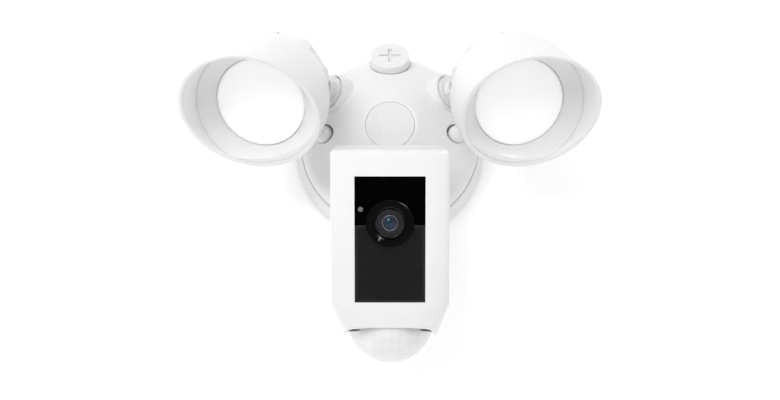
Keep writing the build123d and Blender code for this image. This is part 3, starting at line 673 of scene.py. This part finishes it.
dark_chrome = plated_steel("dark_chrome", (0.045, 0.045, 0.05), 0.22, 1400)
settled(made("lens_trim", trim_ring, lens_place, dark_chrome, 50), "camera", "face_black")


def coated_glass(name, tint, film, clear=1.0):
    """Optical glass with a thin interference coating."""
    material, tree, shader = blank(name)
    smear = noise(tree, 120, 2)
    varied(tree, shader, smear.outputs["Fac"], 0.0, 0.02)
    shader.inputs["Base Color"].default_value = (*tint, 1)
    shader.inputs["Transmission Weight"].default_value = clear
    shader.inputs["IOR"].default_value = 1.52
    shader.inputs["Thin Film Thickness"].default_value = film
    shader.inputs["Thin Film IOR"].default_value = 2.1
    return material


glass_disc = spun([(0, -1.2), (WINDOW_R - 0.35, -1.2), (WINDOW_R - 0.1, -1.4), (WINDOW_R - 0.1, -2.2),
                   (0, -2.2)], 96)
clear_glass = coated_glass("clear_glass", (0.52, 0.54, 0.58), 0)
settled(made("cover_disc", glass_disc, lens_place, clear_glass), "camera", "lens_glass", "lens_cover_glass")

matt_black = moulded_plastic("matt_black", (0.004, 0.004, 0.0045), 0.5, 2600, 0.2, 0.2)
THROAT_R = 4.45             # where the barrel's threads end and the front element begins
threads = []
for i in range(7):
    crest = 8.9 - 0.55 * i
    threads += [(crest, -2.7 - 0.35 * i), (crest - 0.2, -3.05 - 0.35 * i)]
throat = [(THROAT_R + 0.3, -5.4), (THROAT_R, -5.6), (THROAT_R, -7.0), (5.4, -7.4), (5.4, -20)]
barrel = spun([(9.0, -20), (9.0, -2.6)] + threads + throat, 96)
settled(made("threaded_barrel", barrel, lens_place, matt_black, 25), "camera", "barrel_black", "lens_barrel")
seat_ring = spun([(THROAT_R + 0.3, -5.3), (THROAT_R + 0.3, -5.05), (THROAT_R, -4.95),
                  (THROAT_R - 0.3, -5.15), (THROAT_R - 0.3, -5.3)], 72)
bright_rim = plated_steel("bright_rim", (0.62, 0.63, 0.66), 0.3, 1400)
settled(made("element_ring", seat_ring, lens_place, bright_rim, 50), "camera", "barrel_black")

front_cap = bow((4.7, -7.2), (2.4, -5.6), (0.0, -5.0), 10)
front_glass = spun([(0, -8.4), (4.7, -8.4)] + front_cap[:-1] + [(0, -5.0)], 72)
violet_glass = coated_glass("violet_glass", (0.30, 0.24, 0.50), 420)
front_element = made("front_element", front_glass, lens_place, violet_glass)
settled(front_element, "camera", "lens_glass", "lens_elements")
iris = spun([(5.2, -10.6), (5.2, -10.2), (1.9, -10.2), (1.6, -10.4), (1.9, -10.6)], 72)
settled(made("iris", iris, lens_place, bright_rim, 30), "camera", "barrel_black")
rear_cap = bow((4.4, -13.0), (2.2, -12.1), (0.0, -11.8), 8)
rear_glass = spun([(0, -16), (4.4, -16)] + rear_cap[:-1] + [(0, -11.8)], 60)
teal_glass = coated_glass("teal_glass", (0.012, 0.06, 0.07), 560, 0.6)
settled(made("rear_element", rear_glass, lens_place, teal_glass), "camera", "lens_glass")

# ---------------------------------------------------------------- small parts on the face
# A milky light guide beside the lens, and behind the black face the infrared emitters.
bead_white = moulded_plastic("bead_white", (0.17, 0.165, 0.165), 0.10, 3000, 0.02)
softened("light_sensor_bead", "camera", "bead_white", bead_white, 0.15 * MM)
dressed(["infrared_emitters", "speaker_driver", "board_components"], black_moulding)
button_grey = moulded_plastic("button_grey", (0.27, 0.28, 0.29), 0.4)
softened("setup_button", "setup_button", "button_grey", button_grey, 0.4 * MM)

# ---------------------------------------------------------------- wall, floor, light and camera
# A white wall and a pale floor that show from one side only, a broad light ahead on the left, a weak
# one on the right, one behind for the back views, and a small one that only glints in polished faces.
# The surround is bright ahead, dimmer to the sides and dark in reflections.
def plain(name, colour, rough):
    material, _, shader = blank(name)
    shader.inputs["Base Color"].default_value = (*colour, 1)
    shader.inputs["Roughness"].default_value = rough
    return material


def flat(name, size, place, material):
    shape = bmesh.new()
    bmesh.ops.create_grid(shape, x_segments=1, y_segments=1, size=size)
    bmesh.ops.transform(shape, matrix=place, verts=shape.verts)
    mesh = bpy.data.meshes.new(name)
    shape.to_mesh(mesh)
    shape.free()
    mesh.materials.append(material)
    piece = bpy.data.objects.new(name, mesh)
    bpy.context.scene.collection.objects.link(piece)
    return piece


def one_sided(material):
    """Let a surface vanish when it is seen from behind."""
    tree = material.node_tree
    output = next(n for n in tree.nodes if n.type == "OUTPUT_MATERIAL")
    facing = tree.nodes.new("ShaderNodeNewGeometry")
    gone = tree.nodes.new("ShaderNodeBsdfTransparent")
    either = tree.nodes.new("ShaderNodeMixShader")
    tree.links.new(facing.outputs["Backfacing"], either.inputs["Fac"])
    tree.links.new(principled(material).outputs["BSDF"], either.inputs[1])
    tree.links.new(gone.outputs["BSDF"], either.inputs[2])
    tree.links.new(either.outputs["Shader"], output.inputs["Surface"])
    return material


wall_white = one_sided(plain("wall_white", (0.93, 0.93, 0.93), 0.9))
principled(wall_white).inputs["Emission Color"].default_value = (1, 1, 1, 1)
principled(wall_white).inputs["Emission Strength"].default_value = 0.28
floor_pale = one_sided(plain("floor_pale", (0.80, 0.80, 0.80), 0.8))
wall_place = Matrix.Translation((0, cad_high.y + 0.0005, 0)) @ Matrix.Rotation(radians(90), 4, "X")
flat("wall", 3.0, wall_place, wall_white)
floor = flat("floor", 4.0, Matrix.Translation((0, 0, cad_low.z - 0.45)), floor_pale)
floor.visible_glossy = False

world = bpy.data.worlds.new("surround")
bpy.context.scene.world = world
world.use_nodes = True
surround = world.node_tree.nodes["Background"]
surround.inputs["Color"].default_value = (1, 1, 1, 1)
ray = world.node_tree.nodes.new("ShaderNodeLightPath")
dimmed = world.node_tree.nodes.new("ShaderNodeMapRange")
dimmed.inputs["To Max"].default_value = 0.12
heading = world.node_tree.nodes.new("ShaderNodeTexCoord")
parts = world.node_tree.nodes.new("ShaderNodeSeparateXYZ")
frontal = world.node_tree.nodes.new("ShaderNodeMapRange")
frontal.inputs["From Min"].default_value = -1.0
frontal.inputs["From Max"].default_value = 0.0
frontal.inputs["To Min"].default_value = 0.98
frontal.inputs["To Max"].default_value = 0.28
world.node_tree.links.new(heading.outputs["Generated"], parts.inputs["Vector"])
world.node_tree.links.new(parts.outputs["Y"], frontal.inputs["Value"])
world.node_tree.links.new(frontal.outputs["Result"], dimmed.inputs["To Min"])
world.node_tree.links.new(ray.outputs["Is Glossy Ray"], dimmed.inputs["Value"])
world.node_tree.links.new(dimmed.outputs["Result"], surround.inputs["Strength"])


def lamp_at(name, place, aim, size, power):
    light = bpy.data.lights.new(name, "AREA")
    light.size = size
    light.energy = power
    piece = bpy.data.objects.new(name, light)
    bpy.context.scene.collection.objects.link(piece)
    piece.location = place
    piece.rotation_euler = (Vector(aim) - Vector(place)).to_track_quat("-Z", "Y").to_euler()
    return piece


MIDDLE = (0, -0.05, -0.03)
key = lamp_at("key", (-0.6, -1.6, 0.42), MIDDLE, 0.9, 14)
key.visible_glossy = False
fill = lamp_at("fill", (1.2, -1.1, -0.2), MIDDLE, 1.2, 1)
fill.visible_glossy = False
glint = lamp_at("glint", (0.75, -0.95, 0.55), (0, -0.1, -0.05), 0.55, 6)
glint.visible_diffuse = False
lamp_at("back", (0.9, 1.4, 0.9), MIDDLE, 1.2, 2.5)

EYE = (0.0, -0.77386, -0.25156)
LOOK_UP = 15.6
camera = bpy.data.cameras.new("view")
camera.lens = 53.68
camera.sensor_width = 36.0
viewer = bpy.data.objects.new("view", camera)
bpy.context.scene.collection.objects.link(viewer)
viewer.location = EYE
viewer.rotation_euler = (radians(90 + LOOK_UP), 0, 0)
bpy.context.scene.camera = viewer
bpy.context.scene.view_settings.view_transform = "Standard"
